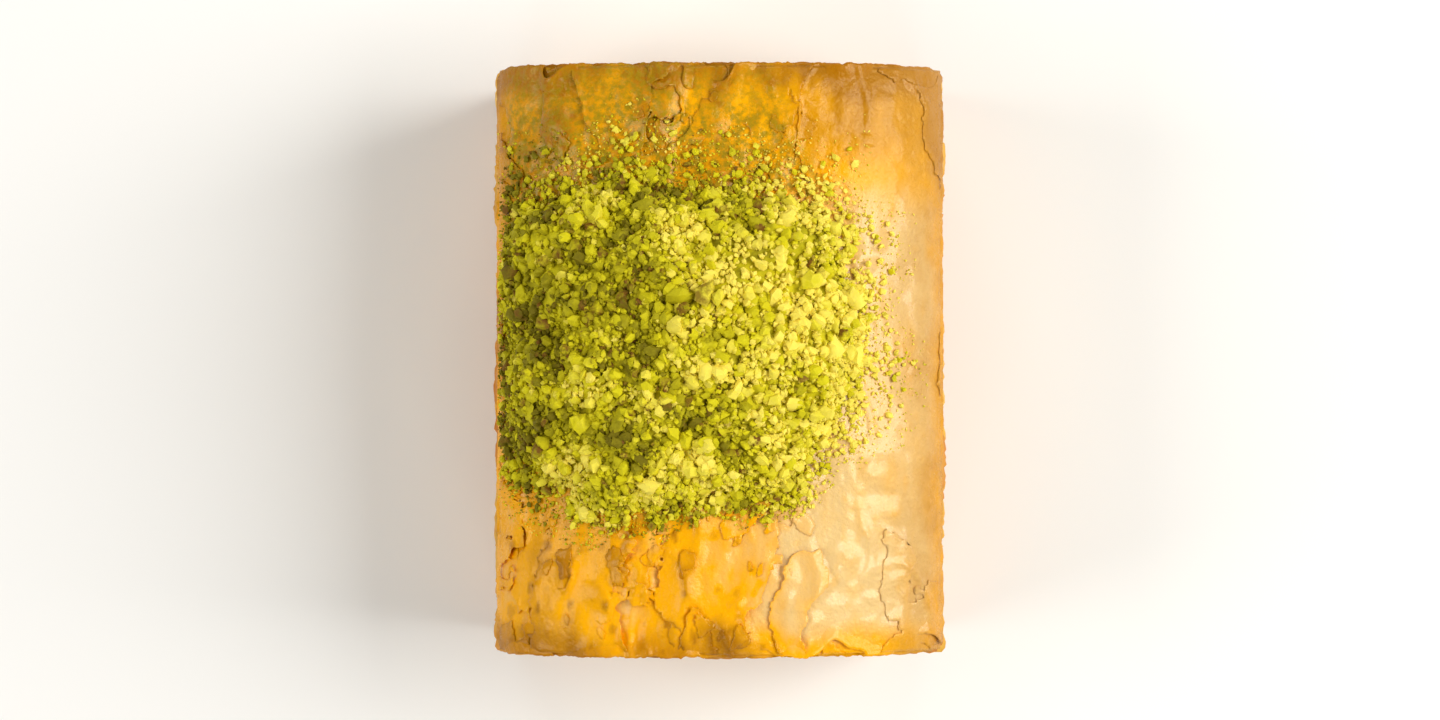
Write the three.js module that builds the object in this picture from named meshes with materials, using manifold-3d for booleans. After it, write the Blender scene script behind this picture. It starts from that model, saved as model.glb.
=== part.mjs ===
// A piece of pistachio baklava, cut on all four sides: a lower stack of soaked pastry leaves, a layer
// of chopped pistachio, an upper stack of baked leaves with a domed crust, and a heap of ground
// pistachio on the crust.
//
// Millimetres. X runs across the piece, Y along it, Z up. The origin is the middle of the flat underside.
import * as THREE from "three";
import { mergeVertices } from "three/addons/utils/BufferGeometryUtils.js";
import Module from "manifold-3d";

const wasm = await Module();
wasm.setup();

// Driving dimensions.
const pieceWidth = 34.4;
const pieceLength = 45;
const cornerRadius = 0.9;
const soakedHeight = 9.4; // top of the lower stack
const fillingHeight = 6.2; // thickness of the pistachio layer
const shoulderHeight = 20.8; // top of the crust along its two long edges
const crownHeight = 26.6; // top of the crust along its middle
const heapHeight = 3; // ground pistachio over the crust, apart from its edge
const heapEdge = 0.5; // how thick the heap still is at its edge
const heapWidth = 29;
const heapLength = 25.2;
const heapCentre = new THREE.Vector2(-3.9, 1.1);
const heapMargin = 0.5; // between the heap and the long cut that it lies nearest to
const layerGap = 0.3; // air between one solid and the next

const halfWidth = pieceWidth / 2;
const halfLength = pieceLength / 2;

// A seeded random number between 0 and 1 at each call (mulberry32).
function seededRandom(seed) {
  let state = seed;
  return () => {
    state = (state + 0x6d2b79f5) | 0;
    let t = Math.imul(state ^ (state >>> 15), 1 | state);
    t = (t + Math.imul(t ^ (t >>> 7), 61 | t)) ^ t;
    return ((t ^ (t >>> 14)) >>> 0) / 4294967296;
  };
}

// The cut outline seen from above: a rectangle with rounded corners, as points, each with the way it
// moves as the outline grows by 1 mm: a side goes straight out and a corner goes out both ways.
function cutOutline(lineStep, cornerSteps) {
  const w = halfWidth;
  const l = halfLength;
  const r = cornerRadius;
  const toUnit = (value) => THREE.MathUtils.clamp(value, -1, 1);
  const shape = new THREE.Shape();
  shape.moveTo(-w + r, -l);
  shape.lineTo(w - r, -l);
  shape.absarc(w - r, -l + r, r, -Math.PI / 2, 0);
  shape.lineTo(w, l - r);
  shape.absarc(w - r, l - r, r, 0, Math.PI / 2);
  shape.lineTo(-w + r, l);
  shape.absarc(-w + r, l - r, r, Math.PI / 2, Math.PI);
  shape.lineTo(-w, -l + r);
  shape.absarc(-w + r, -l + r, r, Math.PI, 1.5 * Math.PI);
  return shape.curves.flatMap((curve) => {
    const steps = curve.isEllipseCurve ? cornerSteps : Math.round(curve.getLength() / lineStep);
    return Array.from({ length: steps }, (_, k) => {
      const point = curve.getPoint(k / steps);
      return { point, growth: new THREE.Vector2(toUnit(point.x / (w - r)), toUnit(point.y / (l - r))) };
    });
  });
}

const outline = cutOutline(2.5, 4);

// An uneven line round the outline, from -1 to 1: a sum of waves with seeded phases.
function ripple(seed, slowest = 3, fastest = 19) {
  const random = seededRandom(seed);
  const waves = Array.from({ length: 6 }, (_, k) => ({
    turns: Math.round(slowest + ((fastest - slowest) * k) / 5 + random()),
    phase: 2 * Math.PI * random(),
  }));
  return (share) => {
    const heights = waves.map(({ turns, phase }) => Math.sin(2 * Math.PI * turns * share + phase));
    return Math.tanh(heights.reduce((sum, height) => sum + height) / 2);
  };
}

// Slow waves over the plan, about -1 to 1, for layers that lie unevenly.
const unevenness = (x, y, turn) =>
  (Math.sin(x / 3.1 + turn) * Math.cos(y / 4.3 - turn) + Math.sin((x + 1.4 * y) / 7.3 + 2 * turn)) / 2;

const fillingBottom = (x, y) => soakedHeight + layerGap + 0.35 * unevenness(x, y, 1.1);
const fillingTop = (x, y) => soakedHeight + fillingHeight + 0.45 * unevenness(x, y, 2.7);

// The crust falls to its long edges as a power of the distance from the middle, and a little at its ends.
function crustTop(x, y) {
  const across = Math.min(1, Math.abs(x) / halfWidth) ** 2.8;
  const along = Math.min(1, Math.abs(y) / halfLength) ** 9;
  return crownHeight - (crownHeight - shoulderHeight) * across - 0.7 * along + 0.3 * unevenness(x, y, 0.4);
}

// An uneven offset for the vertex at a step of a ring, about -1 to 1.
const wobble = (step, height) => Math.sin(12.9898 * step + 78.233 * height + 5) * Math.cos(4.1 * step);

// Merges shared vertices and drops the faces that collapse, so that the mesh is one closed surface.
function closed(geometry) {
  geometry.deleteAttribute("normal");
  geometry.deleteAttribute("uv");
  const merged = mergeVertices(geometry, 1e-4);
  const index = merged.index.array;
  const kept = [];
  for (let k = 0; k < index.length; k += 3) {
    const [a, b, c] = [index[k], index[k + 1], index[k + 2]];
    if (a !== b && b !== c && c !== a) kept.push(a, b, c);
  }
  merged.setIndex(kept);
  return merged;
}

// A solid made of rings, from a pole at the bottom to a pole at the top. A lathe gives the rings and
// their faces, and place(step, ring) says where each vertex of a ring lies.
function ringSolid(steps, rings, place) {
  const profile = rings.map((_, j) => new THREE.Vector2(1, j));
  const geometry = new THREE.LatheGeometry(profile, steps);
  const { position } = geometry.attributes;
  for (let i = 0; i <= steps; i++)
    rings.forEach((ring, j) => {
      const p = place(i % steps, ring);
      position.setXYZ(i * rings.length + j, p.x, p.y, p.z);
    });
  return closed(geometry);
}

function toSolid(geometry) {
  return new wasm.Manifold(
    new wasm.Mesh({
      numProp: 3,
      vertProperties: new Float32Array(geometry.attributes.position.array),
      triVerts: new Uint32Array(geometry.index.array),
    }),
  );
}

function toGeometry(solid) {
  const mesh = solid.getMesh();
  return new THREE.BufferGeometry()
    .setAttribute("position", new THREE.BufferAttribute(new Float32Array(mesh.vertProperties), 3))
    .setIndex(new THREE.BufferAttribute(new Uint32Array(mesh.triVerts), 1));
}

// A stack of pastry leaves, each with its own uneven edge and a groove between it and the next.
// edgeProfile lists the rings of one leaf's edge as [share of its thickness, inset]. bottomShares and
// topShares say how far out the rings of the two flat sides lie, from the middle or to it.
function leafStack(options) {
  const { leaves, bottom, top, seed, raggedness, lean, edgeProfile, footInset, bottomShares, topShares } = options;
  const edges = Array.from({ length: leaves }, (_, k) => (footInset + k === 0 ? () => 1 : ripple(seed + k)));
  const lifts = Array.from({ length: leaves }, (_, k) => ripple(seed + 50 + k, 2, 9));
  const rings = bottomShares.map((share) => ({ share, height: 0, inset: footInset }));
  for (let k = 0; k < leaves; k++)
    for (const [thickness, inset] of edgeProfile) {
      const leaning = footInset + (lean * k) / leaves;
      rings.push({ share: 1, height: (k + thickness) / leaves, inset: leaning + inset, leaf: k });
    }
  rings[bottomShares.length].height = 0;
  rings.at(-1).height = 1;
  rings.push(...topShares.map((share) => ({ share, height: 1, inset: footInset + lean })));
  return ringSolid(outline.length, rings, (i, ring) => {
    const { point, growth } = outline[i];
    const along = i / outline.length;
    const isEdge = ring.leaf !== undefined;
    const out = (isEdge ? raggedness * (edges[ring.leaf](along) - 1) : 0) - ring.inset;
    const x = (point.x + growth.x * out) * ring.share;
    const y = (point.y + growth.y * out) * ring.share;
    const isBetween = isEdge && ring.height > 0 && ring.height < 1;
    const lift = isBetween ? (0.25 / leaves) * lifts[ring.leaf](along) : 0;
    const z = THREE.MathUtils.lerp(bottom(x, y), top(x, y), THREE.MathUtils.clamp(ring.height + lift, 0, 1));
    return { x, y, z };
  });
}

// A chip of chopped nut: a block whose corners are pulled in by chance, turned by chance.
function nutChip(random, size, x, y, z) {
  const chip = closed(new THREE.BoxGeometry(0.66 * size, 0.6 * size, 0.5 * size));
  const { position } = chip.attributes;
  for (let k = 0; k < position.count; k++) {
    const pull = () => 0.7 + 0.45 * random();
    position.setXYZ(k, position.getX(k) * pull(), position.getY(k) * pull(), position.getZ(k) * pull());
  }
  chip.rotateZ(Math.PI * random());
  chip.rotateX(Math.PI * random());
  chip.rotateY(Math.PI * random());
  chip.translate(x, y, z);
  return chip;
}

// Joins the chips to the core. Of what comes out, the largest body is kept, without any sealed hollow.
function fuse(core, chips) {
  const joined = wasm.Manifold.union([toSolid(core), ...chips.map(toSolid)]);
  const bodies = joined.decompose().sort((a, b) => b.volume() - a.volume());
  return toGeometry(bodies[0]);
}

// Soaked leaves cling together, with rounded edges. The lowest one is the widest.
const soakedLeaves = leafStack({
  leaves: 6,
  bottom: () => 0,
  top: (x, y) => fillingBottom(x, y) - layerGap,
  seed: 11,
  raggedness: 0.13,
  lean: 0.2,
  edgeProfile: [[0.1, 0.4], [0.6, 0]],
  footInset: 0,
  bottomShares: [0],
  topShares: [0.6, 0],
});

// Baked leaves stand apart: each edge has a flat nose and a deep groove above it.
const bakedLeaves = leafStack({
  leaves: 7,
  bottom: (x, y) => fillingTop(x, y) + layerGap,
  top: crustTop,
  seed: 31,
  raggedness: 0.27,
  lean: 0.35,
  edgeProfile: [[0, 0], [0.66, 0.08], [0.86, 0.6]],
  footInset: 0.1,
  bottomShares: [0, 0.6],
  topShares: [0.9, 0.76, 0.6, 0.4, 0.2, 0],
});

// The pistachio layer: a band pressed between the stacks, with chips standing out of its cut sides.
function pistachioLayer() {
  const random = seededRandom(71);
  const inset = 1.3;
  const bump = 0.35;
  const rings = [
    { share: 0, height: 0 },
    { share: 0.6, height: 0 },
    { share: 1, height: 0 },
    { share: 1, height: 0.3, bump },
    { share: 1, height: 0.7, bump },
    { share: 1, height: 1 },
    { share: 0.6, height: 1 },
    { share: 0, height: 1 },
  ];
  const core = ringSolid(outline.length, rings, (i, ring) => {
    const { point, growth } = outline[i];
    const out = (ring.bump ? ring.bump * wobble(i, ring.height) : 0) - inset;
    const x = (point.x + growth.x * out) * ring.share;
    const y = (point.y + growth.y * out) * ring.share;
    return { x, y, z: THREE.MathUtils.lerp(fillingBottom(x, y), fillingTop(x, y), ring.height) };
  });
  const chips = outline.map(({ point, growth }, i) => {
    const size = 2 + 1.1 * random();
    const x = point.x - growth.x * 0.57 * size;
    const y = point.y - growth.y * 0.57 * size;
    const low = fillingBottom(x, y) + 0.55 * size;
    const high = fillingTop(x, y) - 0.55 * size;
    const height = [0.1, 0.75, 0.4, 0.95][i % 4] * (0.75 + 0.25 * random());
    return nutChip(random, size, x, y, THREE.MathUtils.lerp(low, high, height));
  });
  return fuse(core, chips);
}

// How far the heap reaches from its centre at an angle: an oval squared towards the cuts, with lobes,
// which stops at its margin from the long cut at low X.
function heapReach(angle) {
  const c = Math.abs(Math.cos(angle)) / (heapWidth / 2);
  const s = Math.abs(Math.sin(angle)) / (heapLength / 2);
  const oval = (c ** 3.4 + s ** 3.4) ** (-1 / 3.4);
  const slowLobes = 0.045 * Math.sin(3 * angle + 0.6) + 0.035 * Math.sin(7 * angle + 2);
  const lobes = slowLobes + 0.02 * Math.sin(12 * angle);
  const toMargin = (halfWidth - heapMargin + heapCentre.x) / Math.max(-Math.cos(angle), 1e-6);
  return Math.min(oval * (0.94 + lobes), toMargin);
}

// Ground pistachio over the crust at a share of the heap's reach: a mound that thins to its edge.
const heapThickness = (share) => heapEdge + heapHeight * (1 - share ** 2.1) ** 0.85;

// The heap is a ball cut at its equator: the lower half lies flat on the crust, and the upper half is
// the mound, where every point is knocked up or down as grains lie. Half of the ball's rings come out
// round the rim, and the point at a ring takes the ring's share of the heap's reach.
function pistachioHeap() {
  const random = seededRandom(137);
  const core = closed(new THREE.OctahedronGeometry(1, 9));
  const { position } = core.attributes;
  for (let k = 0; k < position.count; k++) {
    const ball = new THREE.Vector3().fromBufferAttribute(position, k);
    const angle = Math.atan2(ball.y, ball.x);
    const share = (2 / Math.PI) * Math.acos(Math.min(1, Math.abs(ball.z)));
    const x = heapCentre.x + heapReach(angle) * share * Math.cos(angle);
    const y = heapCentre.y + heapReach(angle) * share * Math.sin(angle);
    const knock = 0.42 * (2 * random() - 1);
    const isRim = Math.abs(ball.z) < 1e-6;
    const thickness = isRim ? heapEdge / 2 : heapThickness(share) + knock;
    position.setXYZ(k, x, y, crustTop(x, y) + layerGap + (isRim || ball.z > 0 ? thickness : 0));
  }
  // Chips follow a sunflower's spiral, so that they spread evenly over the mound.
  const chipCount = 90;
  const goldenAngle = Math.PI * (3 - Math.sqrt(5));
  const chips = Array.from({ length: chipCount }, (_, k) => {
    const angle = (k * goldenAngle) % (2 * Math.PI);
    const share = 0.97 * Math.sqrt((k + 0.5) / chipCount);
    const size = 1.7 + random();
    const x = Math.max(heapCentre.x + heapReach(angle) * share * Math.cos(angle), 0.6 * size - halfWidth);
    const y = heapCentre.y + heapReach(angle) * share * Math.sin(angle);
    const height = Math.max(heapThickness(share) + 0.02 * size, 0.52 * size + 0.05);
    return nutChip(random, size, x, y, crustTop(x, y) + layerGap + height);
  });
  return fuse(core, chips);
}

const pastry = (color, roughness) => new THREE.MeshStandardMaterial({ color, roughness, metalness: 0 });

const nodes = [
  { name: "soaked_leaves", geometry: soakedLeaves, material: pastry(0xe3a63c, 0.35) },
  { name: "pistachio_layer", geometry: pistachioLayer(), material: pastry(0x8f9a2c, 0.8) },
  { name: "baked_leaves", geometry: bakedLeaves, material: pastry(0xe9a42c, 0.3) },
  { name: "pistachio_heap", geometry: pistachioHeap(), material: pastry(0xb4ab2a, 0.85) },
];

const baklavaPiece = new THREE.Group();
for (const { name, geometry, material } of nodes) {
  const mesh = new THREE.Mesh(geometry, material);
  mesh.name = name;
  baklavaPiece.add(mesh);
}

export default baklavaPiece;
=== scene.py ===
# A piece of pistachio baklava, dressed over its solids: soaked leaves, a pistachio layer, baked leaves
# under a domed crust, and ground pistachio heaped on the crust. Shapes are worked out in millimetres,
# in the solids' own frame: X across the piece, Y along it, Z up from the flat underside.
import bpy
import numpy as np
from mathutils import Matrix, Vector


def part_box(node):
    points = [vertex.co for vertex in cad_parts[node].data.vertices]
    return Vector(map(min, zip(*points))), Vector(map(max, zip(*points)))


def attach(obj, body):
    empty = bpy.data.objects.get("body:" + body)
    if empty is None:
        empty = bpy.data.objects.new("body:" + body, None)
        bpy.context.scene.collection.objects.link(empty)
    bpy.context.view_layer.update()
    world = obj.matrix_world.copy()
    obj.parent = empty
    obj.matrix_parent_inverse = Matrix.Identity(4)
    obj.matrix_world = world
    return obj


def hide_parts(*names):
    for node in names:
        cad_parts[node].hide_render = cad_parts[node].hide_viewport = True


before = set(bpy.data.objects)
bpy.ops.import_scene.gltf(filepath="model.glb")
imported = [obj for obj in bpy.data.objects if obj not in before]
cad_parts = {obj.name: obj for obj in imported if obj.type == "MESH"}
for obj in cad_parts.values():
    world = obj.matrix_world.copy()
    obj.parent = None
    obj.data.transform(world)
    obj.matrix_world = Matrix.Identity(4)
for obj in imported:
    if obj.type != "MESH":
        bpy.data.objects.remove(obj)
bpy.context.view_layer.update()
millimetre = 0.001

# The piece's form, as its solids have it.
halfWidth, halfLength, _ = np.array(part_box("soaked_leaves")[1]) / millimetre
form = {
    "cornerRadius": 0.9,
    "soakedHeight": 9.4,  # top of the lower stack
    "fillingHeight": 6.2,
    "shoulderHeight": 20.8,  # top of the crust along its long edges
    "crownHeight": 26.6,  # top of the crust along its middle
    "crownPower": 2.8,  # the higher, the flatter its middle and the steeper its sides
    "endPower": 9,
    "endFall": 0.7,  # how much lower it is at its two ends
    "waves": {"soaked": (0.35, 1.1), "filling": (0.45, 2.7), "crust": (0.3, 0.4)},  # height and turn
    "layerGap": 0.05,
    "outlineStep": 0.3,  # between two points of the cut outline
}
print(f"frame: half a piece is {halfWidth:.1f} by {halfLength:.1f} mm")


def mix(low, high, share):
    # that share of the way from low to high
    return low + (high - low) * share


def ease(value, start, end):
    # 0 up to start, 1 from end on, an S-shaped rise between
    share = np.clip((value - start) / (end - start), 0, 1)
    return share * share * (3 - 2 * share)


def cornerSlope(corner, seed):
    # a seeded slope at each whole-number point: three scrambled numbers from -1 to 1
    mask = 0xFFFFFFFF
    base = corner @ np.array([374761393, 668265263, 144665321]) + 982451653 * seed
    scrambled = (base[..., None] + np.array([0, 362437, 521288629])) & mask
    for shift in (15, 13, 16):
        scrambled = ((scrambled ^ (scrambled >> shift)) * 739982445) & mask
    return (scrambled ^ (scrambled >> 14)) / (mask / 2) - 1


def noise(x, y, seed, z=0.5):
    # Gradient noise, about -1 to 1: the planes of the eight corners' slopes, smoothly blended. The seed
    # is a label, another number in each call.
    place = np.stack(np.broadcast_arrays(x, y, z), -1).astype(float)
    cell = np.floor(place).astype(np.int64)
    inside = place - cell
    blend = inside**3 * (inside * (6 * inside - 15) + 10)
    total = 0
    for corner in np.ndindex(2, 2, 2):
        weight = np.prod(np.where(corner, blend, 1 - blend), -1)
        total = total + weight * np.sum(cornerSlope(cell + corner, seed) * (inside - corner), -1)
    return 1.5 * total


def fractal(x, y, seed, octaves=3, z=0.5):
    # noise with finer noise on it, each half as wide and as strong as the one before
    return sum(noise(x * 2**k, y * 2**k, seed + k, z + 5.3 * k) / 2**k for k in range(octaves))


def waves(layer, x, y):
    # slow waves: a sine across times a cosine along, and a sine that runs aslant
    height, turn = form["waves"][layer]
    cross = np.sin(x / 3.1 + turn) * np.cos(y / 4.3 - turn)
    return height * (cross + np.sin((x + 1.4 * y) / 7.3 + 2 * turn)) / 2


# The layers' surfaces are their levels with waves on them.
def soakedTop(x, y):
    return form["soakedHeight"] + waves("soaked", x, y)


def fillingBottom(x, y):
    return soakedTop(x, y) + form["layerGap"]


def fillingTop(x, y):
    return form["soakedHeight"] + form["fillingHeight"] + waves("filling", x, y)


def crustTop(x, y):
    # falls as a power of the way out to the long edges, and a little at the ends
    across = np.minimum(1, np.abs(x) / halfWidth) ** form["crownPower"]
    along = np.minimum(1, np.abs(y) / halfLength) ** form["endPower"]
    fall = form["crownHeight"] - form["shoulderHeight"]
    return form["crownHeight"] - fall * across - form["endFall"] * along + waves("crust", x, y)


def crumple(x, y, facets, seed):
    # Crumpled paper: a lattice of equal-sided triangles bent by noise, with a seeded height at each
    # corner and a flat facet between three. facets is how high, wide and long they are.
    height, width, length = facets
    x, y = x / width, y / length
    bentX = x + 0.6 * noise(x / 2, y / 2, seed + 1)
    bentY = y + 0.6 * noise(x / 2, y / 2, seed + 2)
    skewed = np.stack([bentX - 0.577 * bentY, 1.155 * bentY, 0 * bentX], -1)  # 1 and 2 over root 3
    cell = np.floor(skewed).astype(np.int64)
    part = (skewed - cell)[..., :2]
    isFar = part.sum(-1, keepdims=True) > 1  # beyond the cell's diagonal
    share = np.where(isFar, 1 - part[..., ::-1], part)
    steps = (isFar * [1, 1, 0], [1, 0, 0], [0, 1, 0])
    start, across, along = (cornerSlope(cell + step, seed)[..., 0] for step in steps)
    return height * (start * (1 - share.sum(-1)) + across * share[..., 0] + along * share[..., 1])


def blisters(x, y):
    # low domes at seeded places: a power of one less the squared distance over the dome's radius
    chance = np.random.default_rng(relief["seed"])
    total = 0
    for _ in range(relief["blisters"]):
        dx = x - chance.uniform(-0.88, 0.88) * halfWidth
        dy = y - chance.uniform(-0.95, 0.95) * halfLength
        radius, turn = mix(*relief["blisterRadius"], chance.random() ** 2), chance.uniform(0, np.pi)
        along, across = dx * np.cos(turn) + dy * np.sin(turn), dy * np.cos(turn) - dx * np.sin(turn)
        dome = np.clip(1 - (along**2 / 1.7 + across**2) / radius**2, 0, 1)
        total = total + relief["blisterHeight"] * radius * dome**1.5
    return total


relief = {
    "wave": (0.22, 5.5, 8),  # height, width and length of the slow waves
    "facets": (0.32, 3.1, 5.4),  # and of the crumpled leaf's facets, at three sizes
    "smallFacets": (0.16, 1.2, 1.9),
    "crinkle": (0.05, 0.55, 0.8),
    "flank": (4, 10),  # the X where the flank starts, and where it is calm
    "flankCalm": 0.72,  # how much flatter the larger facets are there
    "wrinkle": 0.32,
    "blisters": 70,
    "blisterRadius": (0.5, 2.1),
    "blisterHeight": 0.2,  # as a share of the radius
    "seed": 209,
}


def wrinkles(x, y):
    # narrow raised lines, mostly along the piece, where bent noise passes through zero
    bend = 0.8 * noise(x / 4, y / 6, 203)
    line = np.clip(1 - 5 * np.abs(noise(x / 3.2 + bend, y / 10 - bend, 204)), 0, 1)
    return line**1.6 * ease(noise(x / 3, y / 5, 205), -0.2, 0.3)


def crustRelief(x, y):
    # waves, facets at three sizes, the larger two flatter on the flank at high X, wrinkles and blisters
    height, width, length = relief["wave"]
    facets = crumple(x, y, relief["facets"], 206) + crumple(x, y, relief["smallFacets"], 207)
    raised = height * noise(x / width, y / length, 201) + relief["wrinkle"] * wrinkles(x, y)
    raised = raised + crumple(x, y, relief["crinkle"], 208)
    return facets * (1 - relief["flankCalm"] * ease(x, *relief["flank"])) + raised + blisters(x, y)


def crustSurface(x, y):
    # the crust's form with its relief on it
    return crustTop(x, y) + crustRelief(x, y)


def cutOutline():
    # The rounded rectangle, counter-clockwise: a quarter turn about each corner's centre and a straight
    # run to the next. Gives its points, and how each moves as the outline grows by 1 mm.
    radius, step = form["cornerRadius"], form["outlineStep"]
    w, l = halfWidth - radius, halfLength - radius
    centres = np.array([(w, -l), (w, l), (-w, l), (-w, -l)])
    points = []
    for k, (centre, following) in enumerate(zip(centres, np.roll(centres, -1, 0))):
        turn = np.linspace(-1, 0, round(np.pi / 2 * radius / step), endpoint=False)
        run = np.linspace(0, 1, round(np.linalg.norm(following - centre) / step), endpoint=False)
        angle = (np.append(turn, 0 * run) + k) * np.pi / 2
        normal = np.stack([np.cos(angle), np.sin(angle)], 1)
        travel = np.outer(np.append(0 * turn, run), following - centre)
        points.append(centre + travel + radius * normal)
    points = np.concatenate(points)
    return points, np.clip(points / [w, l], -1, 1)


outlinePoint, outlineGrowth = cutOutline()


def ringSolid(x, y, z, lowPole, highPole):
    # a pole, rings of points and a second pole, with quads between them and fans at the poles
    points = np.concatenate([[lowPole], np.stack([x, y, z], -1).reshape(-1, 3), [highPole]])
    here = 1 + np.arange(x.size).reshape(x.shape)
    beside = np.roll(here, -1, 1)
    walls = np.stack([here[:-1], beside[:-1], beside[1:], here[1:]], -1).reshape(-1, 4)
    low = np.stack([np.zeros_like(here[0]), beside[0], here[0]], -1)
    high = np.stack([np.full_like(here[0], len(points) - 1), here[-1], beside[-1]], -1)
    return points, [walls, low, high]


def gridCells(rows, columns):
    # a grid's point numbers, and its cells, each as its four corners in turn
    grid = np.arange(rows * columns).reshape(rows, columns)
    return grid, np.stack([grid[:-1, :-1], grid[:-1, 1:], grid[1:, 1:], grid[1:, :-1]], -1)


def sheetFaces(rows, columns):
    # faces of a thin closed sheet: an upper grid of points, a lower one, and a rim between them
    grid, cells = gridCells(rows, columns)
    upper, lower = cells.reshape(-1, 4), rows * columns
    border = np.concatenate([grid[0, :-1], grid[:-1, -1], grid[-1, :0:-1], grid[:0:-1, 0]])
    beside = np.roll(border, -1)
    rim = np.stack([border + lower, beside + lower, beside, border], -1)
    return [np.concatenate([upper, upper[:, ::-1] + lower, rim])]


def cutSheetFaces(rows, columns, isKept):
    # The same for the cells with a corner that is kept. Where two cells touch at a corner only, the two
    # beside them are kept too. The rim follows every edge that only one cell uses.
    cells, lower = gridCells(rows, columns)[1], rows * columns
    isIn = isKept.ravel()[cells].any(-1)
    for _ in range(3):
        a, b, c, d = isIn[:-1, :-1], isIn[:-1, 1:], isIn[1:, :-1], isIn[1:, 1:]
        isCrossed = (a & d & ~b & ~c) | (b & c & ~a & ~d)
        for quarter in (a, b, c, d):
            quarter |= isCrossed
    cells = cells[isIn]
    edges = np.stack([cells, np.roll(cells, -1, 1)], -1).reshape(-1, 2)
    border = edges[~np.isin(edges @ [lower, 1], edges @ [1, lower])]
    rim = np.stack([border[:, 0], border[:, 0] + lower, border[:, 1] + lower, border[:, 1]], -1)
    faces = np.concatenate([cells, cells[:, ::-1] + lower, rim])
    used, renumbered = np.unique(faces, return_inverse=True)
    return used, [renumbered.reshape(-1, 4)]


def repeated(faces, points, copies):
    # the faces of one small shape, for copies of it with so many points each
    start = points * np.arange(copies)[:, None, None]
    return [(kind[None] + start).reshape(-1, kind.shape[1]) for kind in faces]


def sheetPoints(x, y, z, thickness):
    # the points of a sheet's upper grid, then of the lower one, straight below
    upper = np.stack([x, y, z], -1).reshape(-1, 3)
    return np.concatenate([upper, upper - [0, 0, thickness]])


def poles(bottom, top, centre=(0, 0)):
    # the points of two surfaces at a centre
    x, y = np.array(centre)[:, None]
    return [(x[0], y[0], surface(x, y)[0]) for surface in (bottom, top)]


def addObject(name, data):
    # a new object in the scene
    added = bpy.data.objects.new(name, data)
    bpy.context.scene.collection.objects.link(added)
    return added


def makePiece(name, shape, material, replaced=(), crease=180):
    # A shape is its points, its faces, triangles and quads apart, and values for each point by name. It
    # goes into the mesh in metres. Edges sharper than crease degrees stay sharp.
    points, faces, values = shape
    mesh = bpy.data.meshes.new(name)
    sizes = np.concatenate([np.full(len(kind), kind.shape[1]) for kind in faces])
    corners = np.concatenate([kind.ravel() for kind in faces])
    mesh.vertices.add(len(points))
    mesh.vertices.foreach_set("co", (points * millimetre).astype(np.float32).ravel())
    mesh.loops.add(len(corners))
    mesh.loops.foreach_set("vertex_index", corners.astype(np.int32))
    mesh.polygons.add(len(sizes))
    mesh.polygons.foreach_set("loop_start", (np.cumsum(sizes) - sizes).astype(np.int32))
    mesh.update(calc_edges=True)
    for key, value in values.items():
        attribute = mesh.attributes.new(key, "FLOAT", "POINT")
        attribute.data.foreach_set("value", np.ascontiguousarray(value, np.float32).ravel())
    mesh.shade_smooth()
    if crease < 180:
        mesh.set_sharp_from_angle(angle=np.radians(crease))
    mesh.materials.append(material)
    piece = addObject(name, mesh)
    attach(piece, "root")
    if replaced:
        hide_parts(*replaced)
    print(f"{name}: {int((sizes - 2).sum())} triangles")


# Materials. Colours are given as 0 to 255 on screen.
def colour(red, green, blue):
    # the light that a screen value stands for: a power of it, or near black a straight share
    share = np.array([red, green, blue]) / 255
    linear = np.where(share > 0.04045, ((share + 0.055) / 1.055) ** 2.4, share / 12.92)
    return (*linear.tolist(), 1)


def setInputs(tree, node, inputs):
    # each input is linked to a socket or set to a value
    for key, value in inputs.items():
        if isinstance(value, bpy.types.NodeSocket):
            tree.links.new(value, node.inputs[key])
        else:
            node.inputs[key].default_value = value


def addNode(tree, kind, inputs=None, **settings):
    # a new node with its inputs and its settings
    node = tree.nodes.new(kind)
    for key, value in settings.items():
        setattr(node, key, value)
    setInputs(tree, node, inputs or {})
    return node


def calculate(tree, operation, *values, clamped=False):
    # a Math node on sockets and numbers
    node = addNode(tree, "ShaderNodeMath", dict(enumerate(values)), operation=operation, use_clamp=clamped)
    return node.outputs[0]


def remap(tree, value, start, end, low=0.0, high=1.0):
    # low up to start, high from end on, a straight line between
    inputs = {"Value": value, "From Min": start, "From Max": end, "To Min": low, "To Max": high}
    return addNode(tree, "ShaderNodeMapRange", inputs).outputs[0]


def mixColours(tree, share, first, second):
    # the first colour at a share of 0, the second at 1; these are a Mix node's sockets 6 and 7
    inputs = {"Factor": share, 6: first, 7: second}
    return addNode(tree, "ShaderNodeMix", inputs, data_type="RGBA").outputs[2]


def noiseScale(tree, size):
    # one over the size, given in millimetres and needed in metres
    return calculate(tree, "DIVIDE", 1.0, calculate(tree, "MULTIPLY", size, millimetre))


def pointValue(tree, name):
    # what makePiece stores under that name at each point
    return addNode(tree, "ShaderNodeAttribute", attribute_name=name).outputs["Fac"]


def newGroup(name, kind, inputs):
    # an empty group: its tree, the sockets it is given, with kinds after their defaults, and its result
    tree = bpy.data.node_groups.new(name, "ShaderNodeTree")
    for label, default in inputs.items():
        given = {1: "Float", 3: "Vector", 4: "Color"}[np.size(default)]
        socket = tree.interface.new_socket(label, in_out="INPUT", socket_type="NodeSocket" + given)
        socket.default_value = default
    tree.interface.new_socket("Result", in_out="OUTPUT", socket_type="NodeSocket" + kind)
    return tree, addNode(tree, "NodeGroupInput").outputs, addNode(tree, "NodeGroupOutput").inputs[0]


def addGroup(tree, group, inputs):
    # what a group gives for those inputs
    return addNode(tree, "ShaderNodeGroup", inputs, node_tree=group).outputs[0]


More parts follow.
